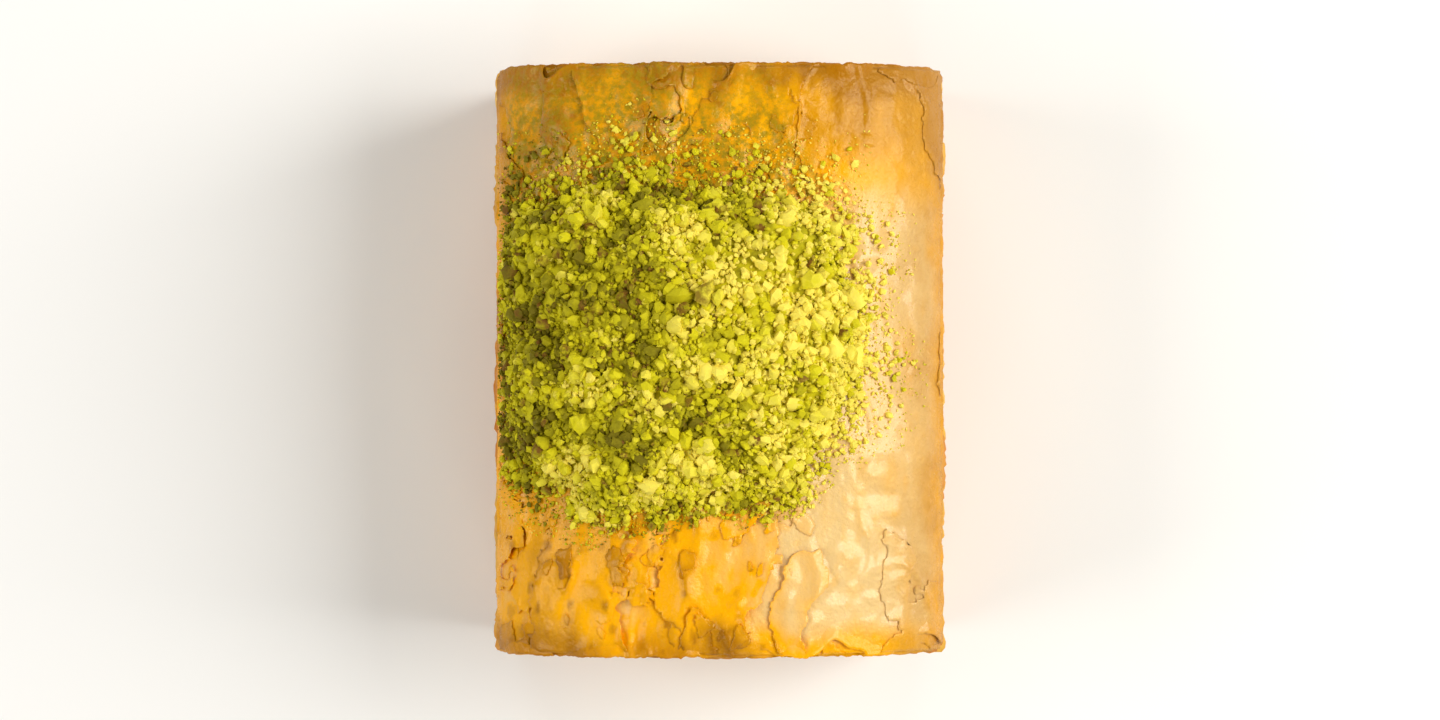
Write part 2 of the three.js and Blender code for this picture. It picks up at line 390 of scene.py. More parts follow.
def makeBlotchGroup():
    # uneven patches, from 0 to 1: noise on object coordinates, with finer noise in it
    inputs = {"Size": 3.0, "Stretch": (1, 1, 1), "Contrast": 1.0}
    tree, given, result = newGroup("blotches", "Float", inputs)
    place = addNode(tree, "ShaderNodeTexCoord").outputs["Object"]
    scaled = addNode(tree, "ShaderNodeVectorMath", {0: place, 1: given["Stretch"]}, operation="MULTIPLY")
    inputs = {"Vector": scaled.outputs[0], "Scale": noiseScale(tree, given["Size"]), "Detail": 4.0}
    cloud = addNode(tree, "ShaderNodeTexNoise", {**inputs, "Roughness": 0.6}).outputs["Fac"]
    centred = calculate(tree, "SUBTRACT", cloud, 0.5)
    spread = calculate(tree, "MULTIPLY_ADD", centred, given["Contrast"], 0.5, clamped=True)
    tree.links.new(spread, result)
    return tree


def makeToneGroup():
    # three colours blended by a tone: pale at 0, middle from 0.42 to 0.5, deep at 1
    inputs = {"Tone": 0.5, "Pale": (1, 1, 1, 1), "Middle": (0.5, 0.5, 0.5, 1), "Deep": (0, 0, 0, 1)}
    tree, given, result = newGroup("threeTones", "Color", inputs)
    upper = mixColours(tree, remap(tree, given["Tone"], 0.0, 0.42), given["Pale"], given["Middle"])
    tree.links.new(mixColours(tree, remap(tree, given["Tone"], 0.5, 1.0), upper, given["Deep"]), result)
    return tree


def makeGrainGroup():
    # a fine rough relief with small pits, from 0 to 1: noise less the walls of small cells
    tree, given, result = newGroup("grain", "Float", {"Size": 0.4, "Pits": 0.3})
    place = addNode(tree, "ShaderNodeTexCoord").outputs["Object"]
    inputs = {"Vector": place, "Scale": noiseScale(tree, given["Size"])}
    cells = addNode(tree, "ShaderNodeTexVoronoi", inputs).outputs["Distance"]
    inputs.update({"Detail": 3.0, "Roughness": 0.65})
    rough = addNode(tree, "ShaderNodeTexNoise", inputs).outputs["Fac"]
    pits = calculate(tree, "MULTIPLY", cells, given["Pits"])
    tree.links.new(calculate(tree, "SUBTRACT", rough, pits), result)
    return tree


blotches = makeBlotchGroup()
threeTones = makeToneGroup()
grain = makeGrainGroup()


def makeFoodMaterial(name, look):
    # The point value "tone" and blotches pick the colour. Other point values lay a colour of their own
    # over it, broken up by blotches. Grain gives the bump, finer blotches the roughness.
    material = bpy.data.materials.new(name)
    material.use_nodes = True
    tree = material.node_tree
    size, strength, stretch = look["blotches"]
    patches = addGroup(tree, blotches, {"Size": size, "Stretch": stretch, "Contrast": 1.6})
    shift = calculate(tree, "MULTIPLY_ADD", patches, strength, -0.5 * strength)
    tone = calculate(tree, "ADD", pointValue(tree, "tone"), shift, clamped=True)
    tones = zip(("Pale", "Middle", "Deep"), (colour(*screen) for screen in look["tones"]))
    base = addGroup(tree, threeTones, {"Tone": tone, **dict(tones)})
    for key, (tint, speckSize, contrast) in look.get("overlays", {}).items():
        specks = addGroup(tree, blotches, {"Size": speckSize, "Contrast": contrast})
        cover = calculate(tree, "MULTIPLY", pointValue(tree, key), specks, clamped=True)
        base = mixColours(tree, cover, base, colour(*tint))
    fine = addGroup(tree, blotches, {"Size": size / 4, "Contrast": 2.0})
    grainSize, depth, pits = look["grain"]
    height = addGroup(tree, grain, {"Size": grainSize, "Pits": pits})
    bump = {"Height": height, "Strength": 1.0, "Distance": depth * millimetre}
    normal = addNode(tree, "ShaderNodeBump", bump).outputs[0]
    inputs = {"Base Color": base, "Roughness": remap(tree, fine, 0.0, 1.0, *look["roughness"])}
    if "coat" in look:
        inputs["Coat Weight"] = remap(tree, tone, 0.0, 0.4, *look["coat"])
    labels = ("Subsurface Weight", "Subsurface Radius", "Subsurface Scale")
    inputs.update({"Normal": normal, **dict(zip(labels, look["subsurface"])), **look["fixed"]})
    setInputs(tree, tree.nodes["Principled BSDF"], inputs)
    return material


# How the foods look. tones: pale, middle and deep. blotches: size, strength and stretch. grain: size,
# depth and pits. overlays: the colour that each point value lays over the rest, and its blotches' size
# and contrast. subsurface: weight, radius and scale.
soakedLook = {
    "tones": ((250, 206, 104), (238, 166, 44), (190, 108, 14)),
    "blotches": (4.0, 0.5, (1, 1, 3)),
    "roughness": (0.12, 0.32),
    "grain": (0.5, 0.05, 0.2),
    "subsurface": (0.35, (1.0, 0.5, 0.16), 0.002),
    "fixed": {"Coat Weight": 0.8, "Coat Roughness": 0.08, "IOR": 1.45},
}
bakedLook = {
    "tones": ((252, 226, 158), (240, 180, 74), (196, 108, 22)),
    "blotches": (3.0, 0.45, (1, 1, 2)),
    "roughness": (0.35, 0.6),
    "grain": (0.35, 0.03, 0.3),
    "subsurface": (0.2, (1.0, 0.55, 0.2), 0.001),
    "fixed": {"Coat Weight": 0.2, "Coat Roughness": 0.25, "IOR": 1.45},
}
crustLook = {
    # the pale tone is the right flank's cream, partly painted highlight; the deep one carries painted
    # shade
    "tones": ((238, 197, 130), (254, 174, 0), (176, 112, 6)),
    # The second overlay, near the high-X edge, is partly browning, partly painted shade.
    "overlays": {"dust": ((166, 134, 16), 0.5, 5.0), "brownAndShade": ((198, 138, 56), 2.2, 0.9)},
    "blotches": (2.6, 0.22, (1, 0.35, 1)),
    "roughness": (0.18, 0.42),
    "coat": (0.45, 0.15),  # the syrup's gloss on the palest leaf, and on browned leaf
    "grain": (0.4, 0.08, 0.4),
    "subsurface": (0.1, (1.0, 0.55, 0.15), 0.001),
    "fixed": {"Coat Roughness": 0.15, "Specular Tint": (1.0, 0.78, 0.34, 1), "IOR": 1.4},
}
nutLook = {
    "tones": ((250, 230, 92), (216, 204, 16), (118, 106, 2)),
    "overlays": {"dust": ((120, 82, 18), 0.9, 5.0)},  # the nut's brown skin
    "blotches": (1.2, 0.3, (1, 1, 1)),
    "roughness": (0.6, 0.85),
    "grain": (0.25, 0.04, 0.4),
    "subsurface": (0.15, (0.9, 1.0, 0.25), 0.0006),
    "fixed": {"IOR": 1.3},
}
pressedNutLook = {
    "tones": ((240, 220, 100), (176, 168, 28), (84, 78, 4)),
    "overlays": {"dust": ((92, 52, 18), 0.9, 5.0)},
    "blotches": (0.7, 0.6, (1, 1, 1)),
    "roughness": (0.25, 0.55),
    "grain": (0.3, 0.1, 0.4),
    "subsurface": (0.08, (0.9, 1.0, 0.25), 0.0006),
    "fixed": {"Coat Weight": 0.3, "Coat Roughness": 0.15, "IOR": 1.3},
}
soakedPastry = makeFoodMaterial("soakedPastry", soakedLook)
bakedPastry = makeFoodMaterial("bakedPastry", bakedLook)
crustPastry = makeFoodMaterial("crustPastry", crustLook)
groundNut = makeFoodMaterial("groundNut", nutLook)
pressedNut = makeFoodMaterial("pressedNut", pressedNutLook)
print("materials made")


# The stacks of leaves. A leaf's edge in section, from the groove below it to the one above: how far in
# each row lies, as a share of the groove's depth, and how high, as a share of the leaf's thickness.
bakedEdge = np.array([(1, 0), (0.5, 0), (0.12, 0.05), (0, 0.3), (0, 0.7), (0.12, 0.95), (0.5, 1), (1, 1)])
soakedEdge = np.array([(1, 0), (0.3, 0.06), (0, 0.35), (0, 0.65), (0.3, 0.94), (1, 1)])


def leafStack(leaf, edge, bottom, top):
    # Each leaf's share of the stack's height is a seeded positive number that drifts round the outline,
    # more at the nose than in the groove, so leaves crowd and part but never cross. A point is the
    # outline's point, grown by the leaf's reach less its row's inset.
    (px, py), (gx, gy) = outlinePoint.T, outlineGrowth.T
    level = np.arange(leaf["leaves"])[:, None]
    chance = np.random.default_rng(leaf["seed"])

    def drift(length, salt, octaves=2):
        return fractal(px / length, py / length, leaf["seed"] + salt, octaves, 7.3 * level)

    share = np.exp(leaf["crowding"] * chance.normal(size=level.shape) + leaf["sway"] * drift(7, 1))
    noseShare = share * np.exp(leaf["flutter"] * drift(2.6, 20))
    grooveSpan, noseSpan = share / share.sum(0), noseShare / noseShare.sum(0)
    grooveLow, noseLow = np.cumsum(grooveSpan, 0) - grooveSpan, np.cumsum(noseSpan, 0) - noseSpan
    torn = ease(drift(2.2, 40), 0.34, 0.48)
    reach = leaf["fray"] * (drift(1.3, 60, 3) - 0.6) - leaf["tear"] * torn
    reach = reach - leaf["lean"] * level / leaf["leaves"]
    depth = leaf["groove"] * np.clip(1 + 0.9 * drift(3, 80), 0.1, 2)

    inward, upward = edge.T[:, None, :, None]
    blend = inward**0.7
    low = mix(noseLow[:, None], grooveLow[:, None], blend)
    span = mix(noseSpan[:, None], grooveSpan[:, None], blend)
    fill = mix(leaf["noseFill"] + 0.15 * drift(2, 100)[:, None], leaf["grooveFill"], blend)
    height = low + span * (0.5 + fill * (upward - 0.5))
    out = reach[:, None] - inward * depth[:, None]
    tone = leaf["tone"](height) + leaf["toneSpread"] * chance.normal(size=level.shape)[:, None]
    tone = tone + 0.25 * drift(4, 120)[:, None] + leaf["noseTone"] * (1 - inward)

    def joined(values, below, above):
        # the rows between the rings of two caps, less the groove rows that the caps replace
        wall = np.broadcast_to(values, height.shape).reshape(-1, len(px))[2:-2]
        return np.concatenate([below * np.ones_like(wall[:1]), wall, above * np.ones_like(wall[:1])])

    under, over = (np.array(leaf[key])[:, None] for key in ("bottomShares", "topShares"))
    x, y = (
        joined(p + g * out, (p - g * leaf["footInset"]) * under, (p - g * leaf["headInset"]) * over)
        for p, g in ((px, gx), (py, gy))
    )
    share = np.clip(joined(height, 0 * under, 1 + 0 * over), 0, 1)
    tones = joined(tone, tone[0, 2] + 0 * under, tone[-1, -3] + 0 * over)
    z = mix(bottom(x, y), top(x, y), share)
    points, faces = ringSolid(x, y, z, *poles(bottom, top))
    return points, faces, {"tone": np.concatenate([[0.5], tones.ravel(), [0.5]])}


soaked = {
    "leaves": 26,
    "seed": 11,
    "crowding": 0.5,  # how unlike the leaves are in thickness
    "sway": 0.9,  # how much that drifts round the outline
    "flutter": 0.55,  # and how much more at their noses
    "fray": 0.22,
    "tear": 0.3,
    "lean": 0.1,  # how much further in the top leaf lies than the lowest
    "groove": 0.42,  # depth between two leaves
    "noseFill": 0.84,  # a leaf's share of the height it has to itself
    "grooveFill": 0.97,
    "tone": lambda height: 0.5 + 0.3 * (1 - height) ** 2,
    "toneSpread": 0.16,
    "noseTone": -0.15,
    "footInset": 0.3,  # how far in the bottom face's outer ring lies
    "headInset": 0.8,
    "bottomShares": (0.5, 0.9, 1),  # and where its rings lie on the way out
    "topShares": (0.95, 0.5),
}
shape = leafStack(soaked, soakedEdge, lambda x, y: 0 * x, soakedTop)
makePiece("soakedStack", shape, soakedPastry, ["soaked_leaves"])

crust = {
    "leaves": 5,
    "thickness": 0.16,
    "step": 0.36,  # from one leaf's top to the next one's
    "clearance": 0.1,  # under the lowest leaf's step
    "cells": (0.2, 0.33),  # cell widths of the top leaf, and of the leaves under it
    "tornEnds": (1.5, 0.7),  # the most that is torn off an end of them
    "bitten": (0.35, 0.9),  # and off a long side
    "curl": 0.8,  # how far the top leaf's ends curl up
    "curlStep": 0.16,  # and how much less each leaf under it does
    "droop": 0.45,  # how far they bend down along the long edges
    "paleTone": 0.1,
    "bandTone": 0.44,  # how much browner the orange band is
    "bandRise": (-31, -13),  # between which X the band comes in
    "bandFall": (-2, 6),  # and gives way to cream
    "brownShadeFrom": 10.5,  # the X where the leaves start to brown, with painted shade
}


def bakedTop(x, y):
    # the crust's surface less all its leaves
    return crustSurface(x, y) - (crust["leaves"] * crust["step"] + crust["clearance"])


baked = {
    **soaked,
    "leaves": 18,
    "seed": 31,
    "crowding": 0.35,
    "sway": 0.8,
    "flutter": 0.75,
    "fray": 0.32,
    "tear": 0.7,
    "groove": 1.5,
    "noseFill": 0.55,
    "grooveFill": 0.9,
    "tone": lambda height: 0.2 + 0.45 * height**2,
    "toneSpread": 0.1,
    "noseTone": 0.1,
    "footInset": 0.5,
    "headInset": 1.2,
    "topShares": (0.95, 0.8, 0.6, 0.4, 0.2),
}
shape = leafStack(baked, bakedEdge, fillingTop, bakedTop)
makePiece("bakedStack", shape, bakedPastry, ["baked_leaves"])


# Leaf edges that stand out of the cut sides.
sideLeaves = {
    "count": 230,
    "points": 34,  # along each leaf edge
    "across": 5,
    "spacing": (0.5, 1.6),  # outline steps between two points
    "depth": 1.6,  # how far inside the cut outline it starts
    "reach": (0.05, 0.5),  # and how far outside it ends
    "thickness": 0.1,
    "heights": (0.08, 0.97),  # as shares of the stack's height
    "seed": 61,
}


def leafEdges():
    # Each runs along a stretch of the cut outline at a share of the stack's height. It reaches out as a
    # half sine along its length, less a torn fringe, and bends up or down as the square of the way out.
    chance = np.random.default_rng(sideLeaves["seed"])
    count, columns = sideLeaves["count"], sideLeaves["points"]
    along, across = np.linspace(0, 1, columns), np.linspace(0, 1, sideLeaves["across"])[:, None]
    drawn = chance.random((6, count, 1, 1))
    place = drawn[1] * len(outlinePoint) + along * columns * mix(*sideLeaves["spacing"], drawn[0])
    corner = np.floor(place).astype(int)

    def onOutline(values):
        return mix(values[corner % len(values)], values[(corner + 1) % len(values)], place - corner)

    px, py, gx, gy = map(onOutline, (*outlinePoint.T, *outlineGrowth.T))
    height, arc = mix(*sideLeaves["heights"], drawn[2]), np.sin(np.pi * along)
    fringe = 0.5 * np.abs(fractal(px / 1.2, py / 1.2, 631, z=9 * height)) + 0.2 * (1 - arc)
    edge = mix(*sideLeaves["reach"], drawn[3] ** 2) * arc**0.4 - fringe
    out = mix(-sideLeaves["depth"], edge, across)
    x, y = px + gx * out, py + gy * out
    bend = (drawn[4] - 0.55) * 0.9 * across**2 + 0.12 * noise(px / 1.5, py / 1.5, 633, 5 * height) * across
    upper = np.stack([x, y, mix(fillingTop(x, y), bakedTop(x, y), height) + bend], -1)
    lower = upper - [0, 0, sideLeaves["thickness"]]
    tone = baked["tone"](height) + 0.3 * (drawn[5] - 0.5) + 0.2 * across + 0 * px
    points = np.stack([lower, upper], 1)  # in the order that turns the faces outward
    faces = repeated(sheetFaces(sideLeaves["across"], columns), points[0, ..., 0].size, count)
    return points.reshape(-1, 3), faces, {"tone": np.stack([tone, tone], 1).ravel()}


makePiece("leafEdges", leafEdges(), bakedPastry)


# The crust: whole leaves over the stack, the top one browned.
def crustTone(x, y):
    # Orange along a band left of the middle, cream on the right, brown and some painted shade near the
    # cuts.
    # The cream on the right is partly painted highlight, where the light on the right glints off the
    # flank, and the band running out to the low-X edge is partly painted shade. The band is one rise and
    # one fall across the piece, bent by noise. What stands up is browner.
    shifted = x + 2.4 * fractal(x / 7, y / 9, 211) + 0.9 * noise(x / 1.7, y / 5, 212)
    band = ease(shifted, *crust["bandRise"]) * (1 - ease(shifted, *crust["bandFall"]))
    # Paler aslant streaks in the band: painted highlight, like the cream on the right flank.
    pale = ease(noise((x - 0.7 * y) / 4, (y + 0.7 * x) / 11, 213), 0.2, 0.75)
    edged = np.abs(x) + 0.8 * noise(y / 3, np.sign(x), 217)
    # Browner and darker along the long cuts, far more at high X: partly browning, partly painted shade.
    sideBrownAndShade = np.where(x > 0, 0.45, 0.14) * ease(edged, halfWidth - 1.6, halfWidth + 0.2)
    # Darker at both ends and towards the back at high X: partly browning, partly painted shade.
    endBrownAndShade = 0.4 * ease(np.abs(y) + 1.6 * noise(x / 2.5, 0, 214), halfLength - 3, halfLength)
    endBrownAndShade = endBrownAndShade + ease(y, 9, 18) * mix(0.2, 0.78, ease(x, 2, 9))
    freckles = 0.3 * ease(noise(x / 0.8, y / 1.1, 215), 0.35, 0.75)
    streaks = 0.1 * fractal(x / 1.4, y / 10, 216)
    raised = np.clip(0.6 * (crustRelief(x, y) - 0.12), -0.2, 0.36)
    tone = crust["paleTone"] + crust["bandTone"] * band - 0.1 * pale * band
    return tone + sideBrownAndShade + endBrownAndShade + freckles * (0.3 + band) + streaks + raised * (0.4 + 0.6 * band)


def leafGrid(cell):
    # u across and v along the crust, both from -1 to 1, in cells about so wide
    columns, rows = round(2 * halfWidth / cell), round(2 * halfLength / cell)
    return np.meshgrid(np.linspace(-1, 1, columns), np.linspace(-1, 1, rows))


def droop(x):
    # an S-shaped bend down over the long edges
    return crust["droop"] * ease(np.abs(x), halfWidth - 1.4, halfWidth + 0.4)


def crustLeaf(index):
    # A point lies at v times the leaf's torn length there and at u times its torn width at that length.
    # The ends curl up as the square of the way to them.
    isUnder = index > 0
    u, v = leafGrid(crust["cells"][isUnder])
    seed, end = 300 + 20 * index, np.sign(v)
    lost = crust["tornEnds"][isUnder] * ease(noise(7 * u, end * 3, seed), 0.05 + 0.1 * index, 0.5)
    jag = 0.25 * np.abs(fractal(14 * u, end * 3, seed + 1))
    y = v * (halfLength + 0.2 - lost - jag - 0.08 * noise(60 * u, end * 3, seed + 2))
    radius = form["cornerRadius"]
    rounding = np.clip(np.abs(y) - (halfLength - radius), 0, radius)
    side = halfWidth - radius + np.sqrt(radius**2 - rounding**2)
    bitten = crust["bitten"][isUnder] * ease(noise(y / 3.4, np.sign(u) * 5, seed + 7), 0.1, 0.6)
    x = u * (side + 0.12 - 0.25 * np.abs(fractal(y / 2.4, np.sign(u) * 3, seed + 3)) - bitten)
    curl = (crust["curl"] - crust["curlStep"] * index) * ease(np.abs(v), 0.9, 1.0) ** 2
    curl = curl * np.clip(0.35 + noise(x / 3.5, end * 3, 341), 0, 1)
    parting = 1 + 0.5 * noise(x / 3, y / 4, 343, index)  # leaves lie closer in places
    z = crustSurface(x, y) - index * crust["step"] * parting + curl - droop(x)
    values = crustValues(x, y, 0.04 * index, not isUnder)
    return sheetPoints(x, y, z, crust["thickness"]), sheetFaces(*u.shape), values


# Leaves over the crust, torn and flaked away in places.
tornLeaves = {
    "cell": 0.24,
    "thickness": 0.07,
    "step": 0.09,  # from one leaf to the next
    "cover": (0.2, 0.05, -0.1),  # for each leaf: the lower, the less is left
    "margin": 0.22,  # value of the noise up to which a leaf is near its torn edge
    "curl": 0.4,  # how far that edge lifts
    "seed": 361,
}


def tornState(index, x, y):
    # A leaf is left where noise is above zero; on the flank the lowest is nearly whole and the others are
    # gone. Gives the noise, a share of 1 at the torn edge and 0 away from it, and the height over the
    # crust: the leaf's place in the pile, and more where its edge curls up.
    seed = tornLeaves["seed"] + 20 * index
    ragged = 0.16 * noise(x / 1.1, y / 1.5, seed + 4) + 0.07 * noise(x / 0.45, y / 0.5, seed + 5)
    flank = ease(x, 3, 12)
    value = fractal(x / 6.5, y / 10, seed, 2) + ragged + tornLeaves["cover"][index]
    value = value + (0.9 if index == 0 else -0.5) * flank
    edge = 1 - ease(value, 0, tornLeaves["margin"])
    lifted = ease(noise(x / 2.4, y / 3.2, seed + 6), -0.1, 0.8)
    curl = tornLeaves["curl"] * (1 - 0.6 * flank) * edge**2 * lifted
    return value, edge, tornLeaves["step"] * (index + 1) + curl


def tornTop(x, y):
    # how high the torn leaves lie over the crust
    states = [tornState(index, x, y) for index in range(len(tornLeaves["cover"]))]
    return np.max([np.where(value > 0, height, 0) for value, _, height in states], 0)


def tornLeaf(index):
    # Grid points just outside what is left are pulled to its edge, by the noise's value over its slope.
    cell, tiny = tornLeaves["cell"], 0.02
    u, v = leafGrid(cell)
    x, y = u * (halfWidth - 0.15), v * (halfLength - 0.1)
    value, edge, _ = tornState(index, x, y)
    slopeX = (tornState(index, x + tiny, y)[0] - value) / tiny
    slopeY = (tornState(index, x, y + tiny)[0] - value) / tiny
    pull = np.minimum(value, 0) / np.maximum(slopeX**2 + slopeY**2, 0.02)
    x = np.clip(x - np.clip(pull * slopeX, -cell, cell), -halfWidth, halfWidth)
    y = np.clip(y - np.clip(pull * slopeY, -cell, cell), -halfLength, halfLength)
    z = crustSurface(x, y) + tornState(index, x, y)[2] - droop(x)
    used, faces = cutSheetFaces(*u.shape, value > 0)
    browner = 0.05 * index + 0.16 * edge**3 * (1 - ease(x, *relief["flank"])) - 0.05
    values = {key: each[used] for key, each in crustValues(x, y, browner).items()}
    return sheetPoints(x, y, z, tornLeaves["thickness"])[used], faces, values


# The heap of ground pistachio.
heap = {
    "width": 29,
    "length": 25.2,
    "centre": (-3.9, 1.1),
    "margin": 0.5,  # between the heap and the long cut beside it
    "height": 3.0,
    "edge": 0.5,  # thickness at its edge
    "squareness": 3.4,  # 2 is an oval, and more is squarer
    "rings": 64,
    "around": 400,
}


def heapReach(angle):
    # the reach from its centre: a squared oval with lobes, less its margin at the long cut at low X
    power = heap["squareness"]
    c = np.abs(np.cos(angle)) / (heap["width"] / 2)
    s = np.abs(np.sin(angle)) / (heap["length"] / 2)
    oval = (c**power + s**power) ** (-1 / power)
    lobes = 0.045 * np.sin(3 * angle + 0.6) + 0.035 * np.sin(7 * angle + 2) + 0.02 * np.sin(12 * angle)
    toMargin = (halfWidth - heap["margin"] + heap["centre"][0]) / np.maximum(-np.cos(angle), 1e-6)
    return np.minimum(oval * (0.94 + lobes), toMargin)


def heapShare(x, y):
    # how far out a place lies, as a share of the heap's reach there
    dx, dy = x - heap["centre"][0], y - heap["centre"][1]
    return np.hypot(dx, dy) / heapReach(np.arctan2(dy, dx))


def heapPlace(share, angle):
    # the place at that share of the heap's reach in a direction
    far = share * heapReach(angle)
    return heap["centre"][0] + far * np.cos(angle), heap["centre"][1] + far * np.sin(angle)


def heapTop(x, y):
    # A mound: its height times a power of one less a power of the share, on the thickness at its edge.
    # Lumps on it fade out at its edge, where the crust's relief takes over.
    share = heapShare(x, y)
    thickness = heap["edge"] + heap["height"] * (1 - np.clip(share, 0, 1) ** 2.1) ** 0.85
    lumps = 0.75 * fractal(x / 3.4, y / 3.2, 401) + 0.35 * fractal(x / 1.1, y / 1.1, 407)
    mound = thickness * ease(1.02 - share, 0, 0.1) + lumps * ease(1.02 - share, 0, 0.2)
    return crustTop(x, y) + mound + crustRelief(x, y) * ease(share, 0.6, 0.95)


def dustCover(x, y):
    # how far nut dust covers the crust: full under the heap, gone a quarter of its reach outside it,
    # further out behind it, and at the long edges
    behind = ease(y, 6, 13) * (1 - 0.9 * ease(x, 2, 9))
    fade = ease(heapShare(x, y), 0.9, 1.25 + 1.4 * behind)
    cover = 1.1 + 0.3 * behind - 1.6 * fade + 0.25 * fractal(x / 2, y / 2, 411)
    return np.clip(cover, 0, 1) * (1 - ease(np.abs(x), halfWidth - 1.2, halfWidth - 0.4))


def crustValues(x, y, browner, isDusted=True):
    # the point values of a leaf on the crust, for both its grids
    # Browner and darker towards the high-X long edge: partly browning, partly painted shade.
    brownAndShade = 1.3 * ease(x + noise(x / 3, y / 5, 413), crust["brownShadeFrom"], halfWidth)
    values = {"tone": crustTone(x, y) + browner, "dust": isDusted * dustCover(x, y), "brownAndShade": brownAndShade}
    return {key: np.tile(value.ravel(), 2) for key, value in values.items()}


for index in range(crust["leaves"]):
    makePiece(f"crustLeaf{index + 1}", crustLeaf(index), crustPastry)
for index in range(len(tornLeaves["cover"])):
    makePiece(f"tornLeaf{index + 1}", tornLeaf(index), crustPastry)


flakes = {
    "count": 70,
    "size": (0.3, 1.3),
    "grid": 10,
    "thickness": 0.045,
    "curl": 0.3,  # how far an edge lifts, as a share of the flake's size
    "limit": 7,  # the X past which none lies
    "seed": 351,
}


def looseFlakes():
    # Shards of leaf. A grid point's larger coordinate is its share of the way out to the shard's edge,
    # which is the nearest of a few seeded lines. The height over the crust grows as the square of the
    # way along the shard's curling direction.
    chance = np.random.default_rng(flakes["seed"])
    count, grid = flakes["count"], flakes["grid"]
    u, v = np.meshgrid(np.linspace(-1, 1, grid), np.linspace(-1, 1, grid))
    out, angle = np.maximum(np.abs(u), np.abs(v)), np.arctan2(v, u)
    lineAngle = chance.uniform(0, 2 * np.pi, (count, 7, 1, 1))
    lineAway = chance.uniform(0.45, 1, (count, 7, 1, 1))
    reach = np.min(lineAway / np.maximum(np.cos(angle - lineAngle), 0.1), 1).clip(0.2, 1.6)
    reach = reach * (1 + 0.16 * np.sin(5 * angle + 6 * lineAway[:, 0]) * np.sin(11 * angle))
    size = mix(*flakes["size"], chance.random((count, 1, 1)) ** 3)
    px, py = (chance.uniform(-0.93, 0.93, (2, count)) * [[halfWidth], [halfLength]])[:, :, None, None]
    dx, dy = (size * reach * out * wave(angle) for wave in (np.cos, np.sin))
    x, y = px + dx, py + dy * 1.5
    turn = chance.uniform(0, 2 * np.pi, (count, 1, 1))
    away = (dx * np.cos(turn) + dy * np.sin(turn)) / size
    lift = flakes["curl"] * size * chance.uniform(0.2, 1, (count, 1, 1)) * np.clip(away + 0.2, 0, 1) ** 2
    upper = np.stack([x, y, crustSurface(x, y) + tornTop(x, y) + flakes["thickness"] + 0.02 + lift], -1)
    lower = upper - [0, 0, flakes["thickness"]]
    isOnCrust = (np.abs(upper[..., :2]) < [halfWidth, halfLength]).all((1, 2, 3))
    kept = (heapShare(px, py) > 1.03).ravel() & isOnCrust & (px < flakes["limit"]).ravel()
    points = np.stack([upper, lower], 1)[kept]
    tone = (crustTone(x, y) + chance.uniform(0, 0.4, (count, 1, 1)) + 0.4 * lift)[kept]
    values = {"tone": np.stack([tone, tone], 1), "dust": dustCover(points[..., 0], points[..., 1])}
    faces = repeated(sheetFaces(grid, grid), 2 * grid * grid, len(points))
    return points.reshape(-1, 3), faces, {key: value.ravel() for key, value in values.items()}


makePiece("pastryFlakes", looseFlakes(), crustPastry)


def heapCore():
    # three rings of the underside, just below the crust, then rings over the mound to its top
    angle = np.linspace(0, 2 * np.pi, heap["around"], endpoint=False)
    share = np.concatenate([[0.5, 0.98, 1], np.linspace(0.99, 0.02, heap["rings"])])[:, None]
    x, y = heapPlace(share, angle)
    z = heapTop(x, y)
    z[:3] = crustSurface(x[:3], y[:3]) - 0.1
    low, high = poles(lambda x, y: crustTop(x, y) - 0.1, heapTop, heap["centre"])
    points, faces = ringSolid(x, y, z, low, high)
    tone = 0.62 + 0.3 * fractal(points[:, 0] / 1.6, points[:, 1] / 1.6, 421)
    return points, faces, {"tone": tone}


makePiece("heapCore", heapCore(), groundNut, ["pistachio_heap"])


# Chips of nut.
def chipShapes(kinds, rings, around, seed):
    # Unit chips: directions on a grid of two angles, each as far out as it meets the nearest of a few
    # seeded planes, which is the plane's distance over the direction's cosine to its normal.
    chance = np.random.default_rng(seed)
    polar = np.pi * (np.arange(rings)[:, None] + 1) / (rings + 1)
    turn = 2 * np.pi * np.arange(around) / around + 0.4 * np.arange(rings)[:, None]
    x, y, z = np.sin(polar) * np.cos(turn), np.sin(polar) * np.sin(turn), -np.cos(polar) + 0 * turn
    directions, faces = ringSolid(x, y, z, (0, 0, -1), (0, 0, 1))
    normals = chance.normal(size=(kinds, 9, 3))
    normals /= np.linalg.norm(normals, axis=-1, keepdims=True)
    distance = chance.uniform(0.3, 0.5, (kinds, 9, 1))
    meets = distance / np.maximum(normals @ directions.T, 0.12)
    radius = np.minimum(meets.min(1), 0.75)
    return directions * radius[..., None] * chance.uniform(0.6, 1.1, (kinds, 1, 3)), faces


def turned(count, chance):
    # a seeded turn for each of count shapes, as matrices from unit quaternions
    w, x, y, z = (q := chance.normal(size=(4, count))) / np.linalg.norm(q, axis=0)
    rows = [
        (1 - 2 * (y * y + z * z), 2 * (x * y - z * w), 2 * (x * z + y * w)),
        (2 * (x * y + z * w), 1 - 2 * (x * x + z * z), 2 * (y * z - x * w)),
        (2 * (x * z - y * w), 2 * (y * z + x * w), 1 - 2 * (x * x + y * y)),
    ]
    return np.array(rows).transpose(2, 0, 1)


